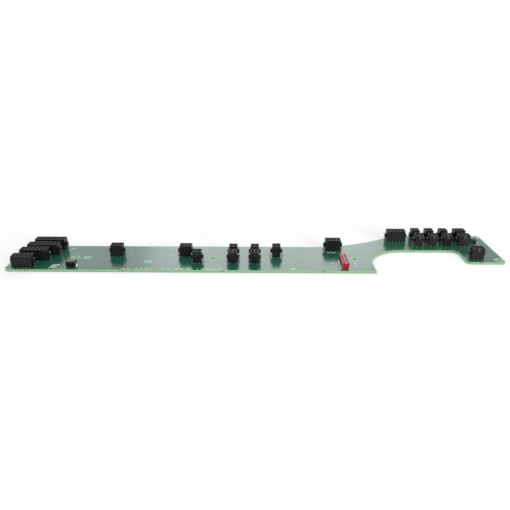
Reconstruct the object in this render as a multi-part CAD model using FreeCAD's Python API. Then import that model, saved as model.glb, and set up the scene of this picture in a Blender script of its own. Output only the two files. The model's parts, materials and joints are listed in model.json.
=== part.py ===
import FreeCAD, Part
import os
from math import sqrt

# A drive backplane board: a long, thin circuit board with a row of upright wire-to-board headers,
# one ribbon-cable header and two moulded capacitors, all soldered to its top face.
#
# Millimetres. X runs along the board, Y from its front edge to its back edge, Z up.
# Places on the board are measured from its front left corner. The origin is the middle of the
# board's outline, on its underside.

# Circuit board
board_length = 393.0
board_depth = 81.3
board_thickness = 1.6
strip_depth = 51.6            # front to back edge along the long left stretch
front_corner_radius = 5.0
back_corner_radius = 3.0

# Front cut-out, and the tab that comes forward to the right of it
cutout_left = board_length - 106.5
cutout_right = board_length - 31.0
cutout_depth = 44.6
cutout_radius = 30.0          # large corner, where the strip turns into the right section
tab_root_radius = 6.0
tab_front = 18.8              # the tab's front edge, measured from the board's front edge
tab_corner_radius = 4.0
tab_end_radius = 3.5

# Shoulder: the back edge sweeps from the strip up to the right section
shoulder_start = board_length - 153.0
shoulder_radius = 110.0
shoulder_top_radius = 6.0

# Mounting holes: name, x, y
mounting_hole_radius = 1.9
mounting_hole_y = 25.4        # the row along the strip
end_hole_inset = 4.3          # from the board's right end
mounting_holes = (
    ("left", 48.0, mounting_hole_y),
    ("middle", 159.2, mounting_hole_y),
    ("right", cutout_left - 13.3, mounting_hole_y),
    ("tab", board_length - end_hole_inset, tab_front + 5.6),
    ("corner", board_length - end_hole_inset, board_depth - 4.0),
)

# Where the board was snapped out of its panel: shallow nicks left in the edge
breakout_length = 3.2
breakout_depth = 0.35
front_breakouts = (16.0, 91.0, 168.0, 245.7)
cutout_breakouts = (cutout_right - 38.0,)
tab_breakouts = (board_length - 20.3,)

# Wire-to-board header: two rows of cells, one terminal in each
header_pitch = 3.0
header_end_extra = 0.65       # body length beyond columns times pitch
header_depth = 7.4
header_height = 9.4           # above the board
header_standoff = 0.8         # underside of the body above the board
header_foot_length = 0.9
header_floor = 1.6
header_cell = 2.45
header_cell_chamfer = 0.55    # polarising corners
header_groove_width = 0.8
header_groove_depth = 0.3
header_groove_inset = 2.6     # groove's middle, from the end of the body
header_rows = (-1, 1)

# Latch ramp on one long side of each header
latch_width = 2.0
latch_height = 2.8
latch_reach = 1.0

# Ears at the two ends of each header, and the solder clip that stands under each
ear_length = 1.5
ear_depth = 3.2
ear_bottom = 3.1
ear_height = 3.2
clip_inset = 0.9              # from the end of the body to the clip's inner face
clip_thickness = 0.4
clip_width = 1.6
clip_foot = 0.6

# Terminals: square pins that turn outwards under the body as flat tails
terminal_size = 0.64
terminal_tail_thickness = 0.4
terminal_tail_reach = 0.6     # beyond the body's long side
terminal_below_rim = 2.0
terminal_clearance = 0.02

# Headers on the right section stand in two rows, one in front of the other
pair_places = (board_length - 59.8, board_length - 47.9, board_length - 35.6, board_length - 21.5)
back_row_y = board_depth - 9.7
front_row_y = board_depth - 22.5

# Headers: name, columns, middle of the body in x, middle in y, side that the latch faces
header_places = (
    ("01", 5, 13.2, 7.5, "back"),
    ("02", 7, 17.5, 21.1, "back"),
    ("03", 8, 20.6, 32.9, "back"),
    ("04", 8, 22.3, 45.0, "back"),
    ("05", 3, 81.0, 31.5, "back"),
    ("06", 3, 137.1, 31.2, "back"),
    ("07", 2, 147.6, 18.4, "front"),
    ("08", 2, 175.7, 18.2, "front"),
    ("09", 2, 175.7, 30.5, "back"),
    ("10", 2, 193.0, 18.2, "front"),
    ("11", 2, 193.0, 30.5, "back"),
    ("12", 2, 210.5, 31.4, "back"),
    ("13", 4, cutout_left - 28.5, 45.7, "back"),
    ("14", 5, board_length - 77.2, board_depth - 11.9, "back"),
    ("15", 2, pair_places[0], back_row_y, "back"),
    ("16", 2, pair_places[1], back_row_y, "back"),
    ("17", 2, pair_places[2], back_row_y, "back"),
    ("18", 3, pair_places[3], back_row_y, "back"),
    ("19", 2, pair_places[0], front_row_y, "front"),
    ("20", 2, pair_places[1], front_row_y, "front"),
    ("21", 2, pair_places[2], front_row_y, "front"),
    ("22", 3, pair_places[3], front_row_y, "front"),
    ("23", 3, board_length - 20.9, tab_front + 9.6, "front"),
)

# Ribbon-cable header: one long moulding with its contacts in two staggered rows
ribbon_x = cutout_left - 23.1
ribbon_y = 13.8
ribbon_width = 5.2
ribbon_length = 20.7
ribbon_height = 5.1
ribbon_standoff = 0.7
ribbon_foot_width = 1.5
ribbon_foot_length = 1.6
ribbon_side_chamfer = 0.6
ribbon_contacts = 14
ribbon_pitch = 1.27
ribbon_slot_length = 1.9      # across the header
ribbon_slot_width = 0.8
ribbon_slot_depth = 3.2
ribbon_slot_inset = 0.55      # from the header's long side to the slot
ribbon_lead_thickness = 0.25
ribbon_lead_width = 0.5
ribbon_lead_reach = 1.2
ribbon_lead_clearance = 0.02

# Moulded capacitors: x, y, length, width, height of each
capacitor_large = (50.3, 8.5, 7.3, 6.1, 4.3)
capacitor_small = (board_length - 11.4, board_depth - 15.9, 7.3, 4.3, 2.9)
capacitor_draft = 0.25        # how far the top and bottom draw in from the parting line
capacitor_lead_thickness = 0.2
capacitor_lead_width = 2.4
capacitor_lead_under = 1.3    # how far the lead runs back under the body


def box(x0, x1, y0, y1, z0, z1):
    return Part.makeBox(x1 - x0, y1 - y0, z1 - z0, FreeCAD.Vector(x0, y0, z0))


def prism_along_x(profile, x0, x1):
    # profile: corners as (y, z)
    points = [FreeCAD.Vector(x0, y, z) for y, z in profile]
    face = Part.Face(Part.makePolygon(points + points[:1]))
    return face.extrude(FreeCAD.Vector(x1 - x0, 0, 0))


def prism_along_y(profile, y0, y1):
    # profile: corners as (x, z)
    points = [FreeCAD.Vector(x, y0, z) for x, z in profile]
    face = Part.Face(Part.makePolygon(points + points[:1]))
    return face.extrude(FreeCAD.Vector(0, y1 - y0, 0))


def prism_along_z(outline, z0, z1):
    # outline: corners as (x, y)
    points = [FreeCAD.Vector(x, y, z0) for x, y in outline]
    face = Part.Face(Part.makePolygon(points + points[:1]))
    return face.extrude(FreeCAD.Vector(0, 0, z1 - z0))


def on_board(shape, x, y, turned=False):
    # sets a shape modelled about its own middle, with z = 0 at its foot, on the board's top face
    placed = shape.copy()
    if turned:
        placed.rotate(FreeCAD.Vector(0, 0, 0), FreeCAD.Vector(0, 0, 1), 180)
    placed.translate(FreeCAD.Vector(x - board_length / 2, y - board_depth / 2, board_thickness))
    return placed


def round_upright_edge(solid, x, y, radius):
    edges = []
    for edge in solid.Edges:
        ends = [v.Point for v in edge.Vertexes]
        if len(ends) == 2 and all(abs(p.x - x) < 1e-4 and abs(p.y - y) < 1e-4 for p in ends):
            edges.append(edge)
    return solid.makeFillet(radius, edges)


# --- the circuit board

def board_blank():
    # outline with square corners; the shoulder is one arc that leaves the strip's back edge
    # without a kink and ends on the right section's back edge
    rise = board_depth - strip_depth
    run = sqrt(shoulder_radius ** 2 - (shoulder_radius - rise) ** 2)
    half_run = run / 2
    half_rise = shoulder_radius - sqrt(shoulder_radius ** 2 - half_run ** 2)
    shoulder_end = shoulder_start + run
    corners = [
        (0, strip_depth), (0, 0), (cutout_left, 0), (cutout_left, cutout_depth),
        (cutout_right, cutout_depth), (cutout_right, tab_front), (board_length, tab_front),
        (board_length, board_depth), (shoulder_end, board_depth),
    ]
    points = [FreeCAD.Vector(x, y, 0) for x, y in corners]
    edges = [Part.LineSegment(a, b).toShape() for a, b in zip(points, points[1:])]
    arc_middle = FreeCAD.Vector(shoulder_start + half_run, strip_depth + half_rise, 0)
    arc_start = FreeCAD.Vector(shoulder_start, strip_depth, 0)
    edges.append(Part.Arc(points[-1], arc_middle, arc_start).toShape())
    edges.append(Part.LineSegment(arc_start, points[0]).toShape())
    blank = Part.Face(Part.Wire(edges)).extrude(FreeCAD.Vector(0, 0, board_thickness))
    roundings = (
        (0, 0, front_corner_radius),
        (0, strip_depth, back_corner_radius),
        (cutout_left, cutout_depth, cutout_radius),
        (cutout_right, cutout_depth, tab_root_radius),
        (cutout_right, tab_front, tab_corner_radius),
        (board_length, tab_front, tab_end_radius),
        (board_length, board_depth, back_corner_radius),
        (shoulder_end, board_depth, shoulder_top_radius),
    )
    for x, y, radius in roundings:
        blank = round_upright_edge(blank, x, y, radius)
    return blank


def drill(x, y, radius):
    return Part.makeCylinder(radius, board_thickness, FreeCAD.Vector(x, y, 0))


def breakout_nick(x, y):
    # a shallow trapezium with 45 degree ends, cut into an edge that faces forward
    half = breakout_length / 2
    floor = half - breakout_depth
    return prism_along_z([(x - half, y), (x + half, y), (x + floor, y + breakout_depth),
                          (x - floor, y + breakout_depth)], 0, board_thickness)


def circuit_board():
    holes = [drill(x, y, mounting_hole_radius) for name, x, y in mounting_holes]
    breakouts = [(x, 0) for x in front_breakouts]
    breakouts += [(x, cutout_depth) for x in cutout_breakouts]
    breakouts += [(x, tab_front) for x in tab_breakouts]
    nicks = [breakout_nick(x, y) for x, y in breakouts]
    board = board_blank().cut(holes + nicks)
    board.translate(FreeCAD.Vector(-board_length / 2, -board_depth / 2, 0))
    return board


# --- the wire-to-board headers

def header_body_length(columns):
    return columns * header_pitch + header_end_extra


def column_places(columns):
    first = -(columns - 1) * header_pitch / 2
    return [first + i * header_pitch for i in range(int(columns))]


def header_cell_hole(x, row, polarised):
    # a square cell, or one whose two corners towards the long side are cut off
    half = header_cell / 2
    y = row * header_pitch / 2
    cut = header_cell_chamfer
    outer = y + row * half
    inner = y - row * half
    outline = [(x - half, inner), (x + half, inner)]
    if polarised:
        outline += [(x + half, outer - row * cut), (x + half - cut, outer)]
        outline += [(x - half + cut, outer), (x - half, outer - row * cut)]
    else:
        outline += [(x + half, outer), (x - half, outer)]
    return prism_along_z(outline, header_standoff + header_floor, header_height)


def header_latch():
    # a wedge that slopes out from the rim and ends in a square step below
    face = header_depth / 2
    top = header_height
    return prism_along_x(
        [(face, top), (face, top - latch_height), (face + latch_reach, top - latch_height)],
        -latch_width / 2, latch_width / 2)


def header_housing(columns):
    length = header_body_length(columns)
    end = length / 2
    face = header_depth / 2
    groove = header_groove_width / 2
    groove_x = end - header_groove_inset
    outline = [
        (-end, face), (-end, -face),
        (-groove_x - groove, -face), (-groove_x - groove, -face + header_groove_depth),
        (-groove_x + groove, -face + header_groove_depth), (-groove_x + groove, -face),
        (groove_x - groove, -face), (groove_x - groove, -face + header_groove_depth),
        (groove_x + groove, -face + header_groove_depth), (groove_x + groove, -face),
        (end, -face), (end, face),
    ]
    body = prism_along_z(outline, header_standoff, header_height)
    added = [header_latch()]
    removed = []
    for side in (-1, 1):
        foot_x = sorted((side * end, side * (end - header_foot_length)))
        added.append(box(foot_x[0], foot_x[1], -face, face, 0, header_standoff))
        ear_x = sorted((side * end, side * (end + ear_length)))
        added.append(box(ear_x[0], ear_x[1], -ear_depth / 2, ear_depth / 2,
                         ear_bottom, ear_bottom + ear_height))
    pin_half = terminal_size / 2 + terminal_clearance
    for i, x in enumerate(column_places(columns)):
        for row in header_rows:
            y = row * header_pitch / 2
            polarised = row > 0 and i % 2 == 0
            removed.append(header_cell_hole(x, row, polarised))
            removed.append(box(x - pin_half, x + pin_half, y - pin_half, y + pin_half,
                               header_standoff, header_standoff + header_floor))
    return body.fuse(added).removeSplitter().cut(removed)


def header_terminals(columns):
    # each is one bent pin: a flat tail on the board, then an upright that stands in its cell
    half = terminal_size / 2
    top = header_height - terminal_below_rim
    pins = []
    for row in header_rows:
        y = row * header_pitch / 2
        toe = row * (header_depth / 2 + terminal_tail_reach)
        profile = [
            (toe, 0), (y - row * half, 0), (y - row * half, top), (y + row * half, top),
            (y + row * half, terminal_tail_thickness), (toe, terminal_tail_thickness),
        ]
        for x in column_places(columns):
            pins.append(prism_along_x(profile, x - half, x + half))
    return pins


def header_clips(columns):
    # an upright strip from the board to each ear's underside, with a foot turned outwards
    end = header_body_length(columns) / 2
    clips = []
    for side in (-1, 1):
        inner = side * (end + clip_inset)
        outer = inner + side * clip_thickness
        toe = outer + side * clip_foot
        profile = [(inner, 0), (toe, 0), (toe, clip_thickness), (outer, clip_thickness),
                   (outer, ear_bottom), (inner, ear_bottom)]
        clips.append(prism_along_y(profile, -clip_width / 2, clip_width / 2))
    return clips


# --- the ribbon-cable header

def ribbon_contact_places():
    # alternate contacts lie on opposite sides, one pitch apart along the header
    first = -(ribbon_contacts - 1) * ribbon_pitch / 2
    return [(first + i * ribbon_pitch, -1 if i % 2 == 0 else 1) for i in range(ribbon_contacts)]


def ribbon_housing():
    half = ribbon_width / 2
    end = ribbon_length / 2
    bottom = ribbon_standoff
    cut = ribbon_side_chamfer
    body = prism_along_y(
        [(-half + cut, bottom), (half - cut, bottom), (half, bottom + cut), (half, ribbon_height - cut / 2),
         (half - cut / 2, ribbon_height), (-half + cut / 2, ribbon_height),
         (-half, ribbon_height - cut / 2), (-half, bottom + cut)],
        -end, end)
    feet = []
    foot_outer = half - cut
    for side in (-1, 1):
        for y0, y1 in ((-end, -end + ribbon_foot_length), (end - ribbon_foot_length, end)):
            x = sorted((side * foot_outer, side * (foot_outer - ribbon_foot_width)))
            feet.append(box(x[0], x[1], y0, y1, 0, bottom))
    slots = []
    slot_half = ribbon_slot_width / 2
    lead_half = ribbon_lead_width / 2 + ribbon_lead_clearance
    for y, side in ribbon_contact_places():
        outer = side * (half - ribbon_slot_inset)
        x = sorted((outer, outer - side * ribbon_slot_length))
        slots.append(box(x[0], x[1], y - slot_half, y + slot_half,
                         ribbon_height - ribbon_slot_depth, ribbon_height))
        shank = sorted((outer + side * ribbon_lead_clearance,
                        outer - side * (ribbon_lead_thickness + ribbon_lead_clearance)))
        slots.append(box(shank[0], shank[1], y - lead_half, y + lead_half,
                         bottom, ribbon_height - ribbon_slot_depth))
    return body.fuse(feet).removeSplitter().cut(slots)


def ribbon_contact_set():
    # each contact stands against its slot's outer wall and leaves under the body as a flat lead
    half = ribbon_width / 2
    contacts = []
    for y, side in ribbon_contact_places():
        outer = side * (half - ribbon_slot_inset)
        inner = outer - side * ribbon_lead_thickness
        toe = side * (half + ribbon_lead_reach)
        top = ribbon_height - ribbon_lead_thickness
        hook = inner - side * 2 * ribbon_lead_thickness
        profile = [(inner, 0), (toe, 0), (toe, ribbon_lead_thickness),
                   (outer, ribbon_lead_thickness), (outer, top), (hook, top),
                   (hook, top - 2 * ribbon_lead_thickness), (inner, top - 2 * ribbon_lead_thickness)]
        contacts.append(prism_along_y(profile, y - ribbon_lead_width / 2, y + ribbon_lead_width / 2))
    return contacts


# --- the moulded capacitors

def capacitor_body(length, width, height):
    # two frusta that meet at the parting line, as a transfer moulding's halves do
    gap = capacitor_lead_thickness
    parting = gap + (height - gap) / 2

    def rectangle(inset, z):
        a = length / 2 - inset
        b = width / 2 - inset
        corners = [FreeCAD.Vector(x, y, z) for x, y in ((-a, -b), (a, -b), (a, b), (-a, b))]
        return Part.makePolygon(corners + corners[:1])

    lower = Part.makeLoft([rectangle(capacitor_draft, gap), rectangle(0, parting)], True, True)
    upper = Part.makeLoft([rectangle(0, parting), rectangle(capacitor_draft, height)], True, True)
    return lower.fuse(upper)


def capacitor_leads(length, height):
    # a strip leaves each end at the parting line, runs down the end face and folds under
    t = capacitor_lead_thickness
    parting = t + (height - t) / 2
    leads = []
    for side in (-1, 1):
        end = side * length / 2
        outer = end + side * t
        under = end - side * capacitor_lead_under
        profile = [(under, 0), (outer, 0), (outer, parting + t / 2), (end, parting + t / 2),
                   (end, t), (under, t)]
        leads.append(prism_along_y(profile, -capacitor_lead_width / 2, capacitor_lead_width / 2))
    return leads


# --- all nodes

def add_headers(nodes):
    clips = []
    for name, columns, x, y, latch in header_places:
        turned = latch == "front"
        nodes["header_" + name + "_housing"] = on_board(header_housing(columns), x, y, turned)
        pins = [on_board(pin, x, y, turned) for pin in header_terminals(columns)]
        nodes["header_" + name + "_terminals"] = Part.makeCompound(pins)
        clips += [on_board(clip, x, y) for clip in header_clips(columns)]
    nodes["header_solder_clips"] = Part.makeCompound(clips)


def add_ribbon_header(nodes):
    nodes["ribbon_header_housing"] = on_board(ribbon_housing(), ribbon_x, ribbon_y)
    contacts = [on_board(contact, ribbon_x, ribbon_y) for contact in ribbon_contact_set()]
    nodes["ribbon_header_contacts"] = Part.makeCompound(contacts)


def add_capacitors(nodes):
    for name, sizes in (("large", capacitor_large), ("small", capacitor_small)):
        x, y, length, width, height = sizes
        nodes["capacitor_" + name + "_body"] = on_board(capacitor_body(length, width, height), x, y)
        leads = [on_board(lead, x, y) for lead in capacitor_leads(length, height)]
        nodes["capacitor_" + name + "_leads"] = Part.makeCompound(leads)


def main():
    nodes = {"circuit_board": circuit_board()}
    add_headers(nodes)
    add_ribbon_header(nodes)
    add_capacitors(nodes)
    os.makedirs("parts", exist_ok=True)
    for name, shape in nodes.items():
        shape.exportStep("parts/" + name + ".step")


main()
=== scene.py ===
import json
import math
import bmesh
import bpy
import numpy as np
from mathutils import Matrix, Vector, geometry


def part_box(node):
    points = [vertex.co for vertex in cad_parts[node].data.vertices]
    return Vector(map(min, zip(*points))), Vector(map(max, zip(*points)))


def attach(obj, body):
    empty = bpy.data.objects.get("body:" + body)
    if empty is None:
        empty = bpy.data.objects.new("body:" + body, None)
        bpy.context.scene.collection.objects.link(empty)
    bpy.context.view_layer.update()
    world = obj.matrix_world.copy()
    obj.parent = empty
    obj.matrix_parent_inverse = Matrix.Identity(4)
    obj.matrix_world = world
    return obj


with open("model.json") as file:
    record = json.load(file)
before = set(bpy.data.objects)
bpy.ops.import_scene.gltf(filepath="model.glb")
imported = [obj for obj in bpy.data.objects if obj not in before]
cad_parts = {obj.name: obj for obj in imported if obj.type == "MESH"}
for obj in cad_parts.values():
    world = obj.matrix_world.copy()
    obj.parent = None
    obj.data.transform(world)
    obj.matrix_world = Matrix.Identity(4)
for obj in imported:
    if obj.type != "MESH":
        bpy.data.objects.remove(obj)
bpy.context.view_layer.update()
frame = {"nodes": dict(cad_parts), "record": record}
mm = 0.001


def nodeBox(name):
    low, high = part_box(name)
    return np.array(low), np.array(high)


boardLow, boardHigh = nodeBox("circuit_board")
topZ = boardHigh[2]
print("frame loaded:", len(frame["nodes"]), "nodes")


def onBoard(x, y):
    # a place given in mm from the board's front left corner
    return boardLow[0] + x * mm, boardLow[1] + y * mm


def newMaterial(name):
    material = bpy.data.materials.new(name)
    material.use_nodes = True
    tree = material.node_tree
    shader = tree.nodes["Principled BSDF"]
    return material, tree, shader


def addNode(tree, kind, **settings):
    node = tree.nodes.new(kind)
    for key, value in settings.items():
        setattr(node, key, value)
    return node


def feed(tree, socket, source):
    # source is another socket, or a plain value for this one
    if isinstance(source, bpy.types.NodeSocket):
        tree.links.new(source, socket)
    else:
        socket.default_value = source


def mathNode(tree, operation, a, b=0.0, c=0.0, clamp=False):
    node = addNode(tree, "ShaderNodeMath", operation=operation, use_clamp=clamp)
    for socket, source in zip(node.inputs, (a, b, c)):
        feed(tree, socket, source)
    return node.outputs[0]


def swing(tree, mask, low, high):
    # low where the mask is 0 and high where it is 1
    return mathNode(tree, "MULTIPLY_ADD", mask, high - low, low)


def mixColour(tree, factor, first, second):
    # a colour mix node's own sockets are inputs 6 and 7 and output 2
    node = addNode(tree, "ShaderNodeMix", data_type="RGBA")
    feed(tree, node.inputs["Factor"], factor)
    feed(tree, node.inputs[6], first)
    feed(tree, node.inputs[7], second)
    return node.outputs[2]


def splitVector(tree, source):
    node = addNode(tree, "ShaderNodeSeparateXYZ")
    feed(tree, node.inputs[0], source)
    return node.outputs


def smoothStep(tree, value, low, high):
    # 0 at low and 1 at high, with a soft curve between; low may be the larger
    node = addNode(tree, "ShaderNodeMapRange", interpolation_type="SMOOTHSTEP")
    for name, source in (("Value", value), ("From Min", low), ("From Max", high)):
        feed(tree, node.inputs[name], source)
    return node.outputs["Result"]


def noiseNode(tree, vector, scale, detail, roughness):
    node = addNode(tree, "ShaderNodeTexNoise")
    feed(tree, node.inputs["Vector"], vector)
    feed(tree, node.inputs["Scale"], scale)
    feed(tree, node.inputs["Detail"], detail)
    feed(tree, node.inputs["Roughness"], roughness)
    return node.outputs["Fac"]


def objectPlace(tree):
    return addNode(tree, "ShaderNodeTexCoord").outputs["Object"]


def bumpNormal(tree, height, strength, distance, normal=None):
    node = addNode(tree, "ShaderNodeBump")
    feed(tree, node.inputs["Height"], height)
    feed(tree, node.inputs["Strength"], strength)
    feed(tree, node.inputs["Distance"], distance)
    if normal is not None:
        feed(tree, node.inputs["Normal"], normal)
    return node.outputs["Normal"]


def newGroup(name, inputs, outputs):
    group = bpy.data.node_groups.new(name, "ShaderNodeTree")
    for socketName, kind, value in inputs:
        socket = group.interface.new_socket(socketName, in_out="INPUT", socket_type=kind)
        if value is not None:
            socket.default_value = value
    for socketName, kind in outputs:
        group.interface.new_socket(socketName, in_out="OUTPUT", socket_type=kind)
    return group, addNode(group, "NodeGroupInput").outputs, addNode(group, "NodeGroupOutput").inputs


def useGroup(tree, group, **values):
    node = addNode(tree, "ShaderNodeGroup", node_tree=group)
    for name, source in values.items():
        feed(tree, node.inputs[name], source)
    return node.outputs


vectorSocket, floatSocket = "NodeSocketVector", "NodeSocketFloat"


def makeSurfaceGrain():
    # fine grain and slow blotches: two noises, one for each size
    group, given, wanted = newGroup(
        "surfaceGrain",
        [("Place", vectorSocket, None), ("Fine", floatSocket, 9000.0), ("Slow", floatSocket, 180.0)],
        [("Grain", floatSocket), ("Blotch", floatSocket)])
    fine = noiseNode(group, given["Place"], given["Fine"], detail=2.0, roughness=0.6)
    feed(group, wanted["Grain"], fine)
    slow = noiseNode(group, given["Place"], given["Slow"], detail=4.0, roughness=0.6)
    feed(group, wanted["Blotch"], smoothStep(group, slow, 0.3, 0.7))
    return group


def makeGlassWeave():
    # plain weave of glass cloth: two sine waves at right angles, one over the other by turns
    group, given, wanted = newGroup(
        "glassWeave",
        [("Place", vectorSocket, None), ("Pitch", floatSocket, 0.55 * mm)],
        [("Height", floatSocket), ("Crossings", floatSocket)])
    along = splitVector(group, given["Place"])
    turns = mathNode(group, "DIVIDE", math.pi, given["Pitch"])
    waveX = mathNode(group, "SINE", mathNode(group, "MULTIPLY", along[0], turns))
    waveY = mathNode(group, "SINE", mathNode(group, "MULTIPLY", along[1], turns))
    crossing = mathNode(group, "MULTIPLY", waveX, waveY)
    feed(group, wanted["Height"], mathNode(group, "MULTIPLY_ADD", crossing, 0.5, 0.5))
    feed(group, wanted["Crossings"], smoothStep(group, mathNode(group, "ABSOLUTE", crossing), 0.35, 0.9))
    return group


def makeDust():
    # a thin, uneven veil of fine specks: small noise cut off high, thicker where slow noise is high
    group, given, wanted = newGroup(
        "dust",
        [("Place", vectorSocket, None), ("Size", floatSocket, 0.35 * mm),
         ("Spread", floatSocket, 90.0), ("Amount", floatSocket, 0.3)],
        [("Mask", floatSocket)])
    scale = mathNode(group, "DIVIDE", 1.0, given["Size"])
    small = noiseNode(group, given["Place"], scale, detail=1.0, roughness=0.4)
    slowScale = mathNode(group, "DIVIDE", scale, given["Spread"])
    slow = noiseNode(group, given["Place"], slowScale, detail=2.0, roughness=0.5)
    specks, veil = smoothStep(group, small, 0.66, 0.78), smoothStep(group, slow, 0.35, 0.75)
    both = mathNode(group, "MULTIPLY", specks, veil)
    feed(group, wanted["Mask"], mathNode(group, "MULTIPLY", both, given["Amount"], clamp=True))
    return group


def makeCopperRuns():
    # copper under the film: stripes along the board, side by side, and blocks of a slow pattern
    # that are all copper; the height is 1 over copper and 0 between
    group, given, wanted = newGroup(
        "copperRuns",
        [("Place", vectorSocket, None), ("Pitch", floatSocket, 1.1 * mm), ("Share", floatSocket, 0.55),
         ("Soft", floatSocket, 0.04), ("Filled", floatSocket, 0.55)],
        [("Height", floatSocket)])
    along = splitVector(group, given["Place"])
    phase = mathNode(group, "FRACT", mathNode(group, "DIVIDE", along[1], given["Pitch"]))
    ridge = mathNode(group, "ABSOLUTE", mathNode(group, "SUBTRACT", phase, 0.5))
    half = mathNode(group, "MULTIPLY", given["Share"], 0.5)
    outside = mathNode(group, "ADD", half, given["Soft"])
    stripe = smoothStep(group, ridge, outside, mathNode(group, "SUBTRACT", half, given["Soft"]))
    stretch = addNode(group, "ShaderNodeMapping")
    feed(group, stretch.inputs["Vector"], given["Place"])
    feed(group, stretch.inputs["Scale"], (30.0, 110.0, 1.0))  # blocks to the metre, along X and Y
    blocks = addNode(group, "ShaderNodeTexVoronoi", distance="CHEBYCHEV")
    feed(group, blocks.inputs["Vector"], stretch.outputs[0])
    feed(group, blocks.inputs["Scale"], 1.0)
    tone = addNode(group, "ShaderNodeSeparateColor")
    feed(group, tone.inputs[0], blocks.outputs["Color"])
    pour = mathNode(group, "GREATER_THAN", tone.outputs[0], given["Filled"])
    feed(group, wanted["Height"], mathNode(group, "MAXIMUM", stripe, pour))
    return group


def makePaintedRimHighlight():
    # painted highlight along the edges: 1 where an edge is near: 1 - dot(rounded normal, true normal),
    # made uneven by noise and stretched to 0..1
    group, given, wanted = newGroup(
        "rimWear",
        [("Rounded", vectorSocket, None), ("Place", vectorSocket, None), ("Reach", floatSocket, 0.10)],
        [("Mask", floatSocket)])
    true = addNode(group, "ShaderNodeNewGeometry").outputs["Normal"]
    both = addNode(group, "ShaderNodeVectorMath", operation="DOT_PRODUCT")
    feed(group, both.inputs[0], given["Rounded"])
    feed(group, both.inputs[1], true)
    bend = mathNode(group, "SUBTRACT", 1.0, both.outputs["Value"])
    patches = noiseNode(group, given["Place"], scale=900.0, detail=2.0, roughness=0.6)
    patchy = mathNode(group, "MULTIPLY", bend, swing(group, patches, 0.6, 1.4))
    feed(group, wanted["Mask"], smoothStep(group, patchy, 0.01, given["Reach"]))
    return group


surfaceGrain = makeSurfaceGrain()
glassWeave = makeGlassWeave()
dust = makeDust()
copperRuns = makeCopperRuns()
rimWear = makePaintedRimHighlight()


maskFinish = {
    "film": (0.0055, 0.092, 0.053, 1), "overCopper": (0.0075, 0.108, 0.061, 1),
    "dustColour": (0.30, 0.34, 0.31, 1), "dust": 0.35, "roughness": (0.19, 0.24),
    "coat": 0.35, "coatRoughness": 0.16, "refraction": 1.6, "relief": 0.10}


def filmColour(tree, place):
    # colour and relief of the green film: tone follows the copper under it, plus dust
    runs = useGroup(tree, copperRuns, Place=place)["Height"]
    weave = useGroup(tree, glassWeave, Place=place)["Height"]
    colour = mixColour(tree, runs, maskFinish["film"], maskFinish["overCopper"])
    specks = useGroup(tree, dust, Place=place, Amount=maskFinish["dust"])["Mask"]
    colour = mixColour(tree, specks, colour, maskFinish["dustColour"])
    relief = mathNode(tree, "MULTIPLY_ADD", weave, 0.15, runs)
    return colour, relief, specks


def makeMaskFilm():
    material, tree, shader = newMaterial("maskFilm")
    place = objectPlace(tree)
    colour, relief, specks = filmColour(tree, place)
    grain = useGroup(tree, surfaceGrain, Place=place, Fine=2600.0, Slow=45.0)
    feed(tree, shader.inputs["Base Color"], colour)
    rough = swing(tree, grain["Blotch"], *maskFinish["roughness"])
    feed(tree, shader.inputs["Roughness"], mathNode(tree, "MULTIPLY_ADD", specks, 0.5, rough))
    feed(tree, shader.inputs["Normal"], bumpNormal(tree, relief, maskFinish["relief"], 0.02 * mm))
    feed(tree, shader.inputs["IOR"], maskFinish["refraction"])
    feed(tree, shader.inputs["Coat Weight"], maskFinish["coat"])
    feed(tree, shader.inputs["Coat Roughness"], maskFinish["coatRoughness"])
    feed(tree, shader.inputs["Coat IOR"], maskFinish["refraction"])
    return material


def distanceTo(tree, place, points):
    # distance in metres, seen from above, to the nearest of some points
    nearest = 1.0
    for x, y in points:
        away = addNode(tree, "ShaderNodeVectorMath", operation="DISTANCE")
        feed(tree, away.inputs[0], place)
        feed(tree, away.inputs[1], (float(x), float(y), 0.0))
        nearest = mathNode(tree, "MINIMUM", away.outputs["Value"], nearest)
    return nearest


laminateFinish = {
    "face": (0.205, 0.51, 0.36, 1), "faceDeep": (0.175, 0.46, 0.31, 1),
    "edge": (0.265, 0.49, 0.23, 1), "edgeDeep": (0.19, 0.36, 0.15, 1),
    "hole": (0.56, 0.56, 0.09, 1), "snapped": (0.50, 0.66, 0.42, 1),
    "roughness": (0.30, 0.55), "filmRoughness": 0.21, "blotch": 0.25, "relief": 0.25,
    "layerPitch": 0.2 * mm, "faceDepth": 0.01 * mm,
    "snappedReach": 1.1 * mm, "snappedShare": 0.85,  # paler this far from the middle of a nick
    "wallReach": 1.04,  # a hole's wall lies within this many radii of its middle
    "bareRing": 3.2 * mm}  # radius without film round each hole, on the underside


def cutEdgeTone(tree, place, height, fromNick, fromHole, holeRadius):
    # glass layers show on every cut edge as waves over the height, frayed by noise; they are paler
    # at the nicks and yellow in the holes
    turns = 2 * math.pi / laminateFinish["layerPitch"]
    layers = mathNode(tree, "SINE", mathNode(tree, "MULTIPLY", height, turns))
    ragged = noiseNode(tree, place, scale=1400.0, detail=3.0, roughness=0.7)
    layerMask = smoothStep(tree, mathNode(tree, "MULTIPLY_ADD", layers, 0.3, ragged), 0.45, 0.95)
    edge = mixColour(tree, layerMask, laminateFinish["edge"], laminateFinish["edgeDeep"])
    snapped = mathNode(tree, "LESS_THAN", fromNick, laminateFinish["snappedReach"])
    share = mathNode(tree, "MULTIPLY", snapped, laminateFinish["snappedShare"])
    edge = mixColour(tree, share, edge, laminateFinish["snapped"])
    inHole = mathNode(tree, "LESS_THAN", fromHole, holeRadius * laminateFinish["wallReach"])
    wall = mixColour(tree, layerMask, laminateFinish["hole"], laminateFinish["edgeDeep"])
    return mixColour(tree, inHole, edge, wall), layerMask


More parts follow.
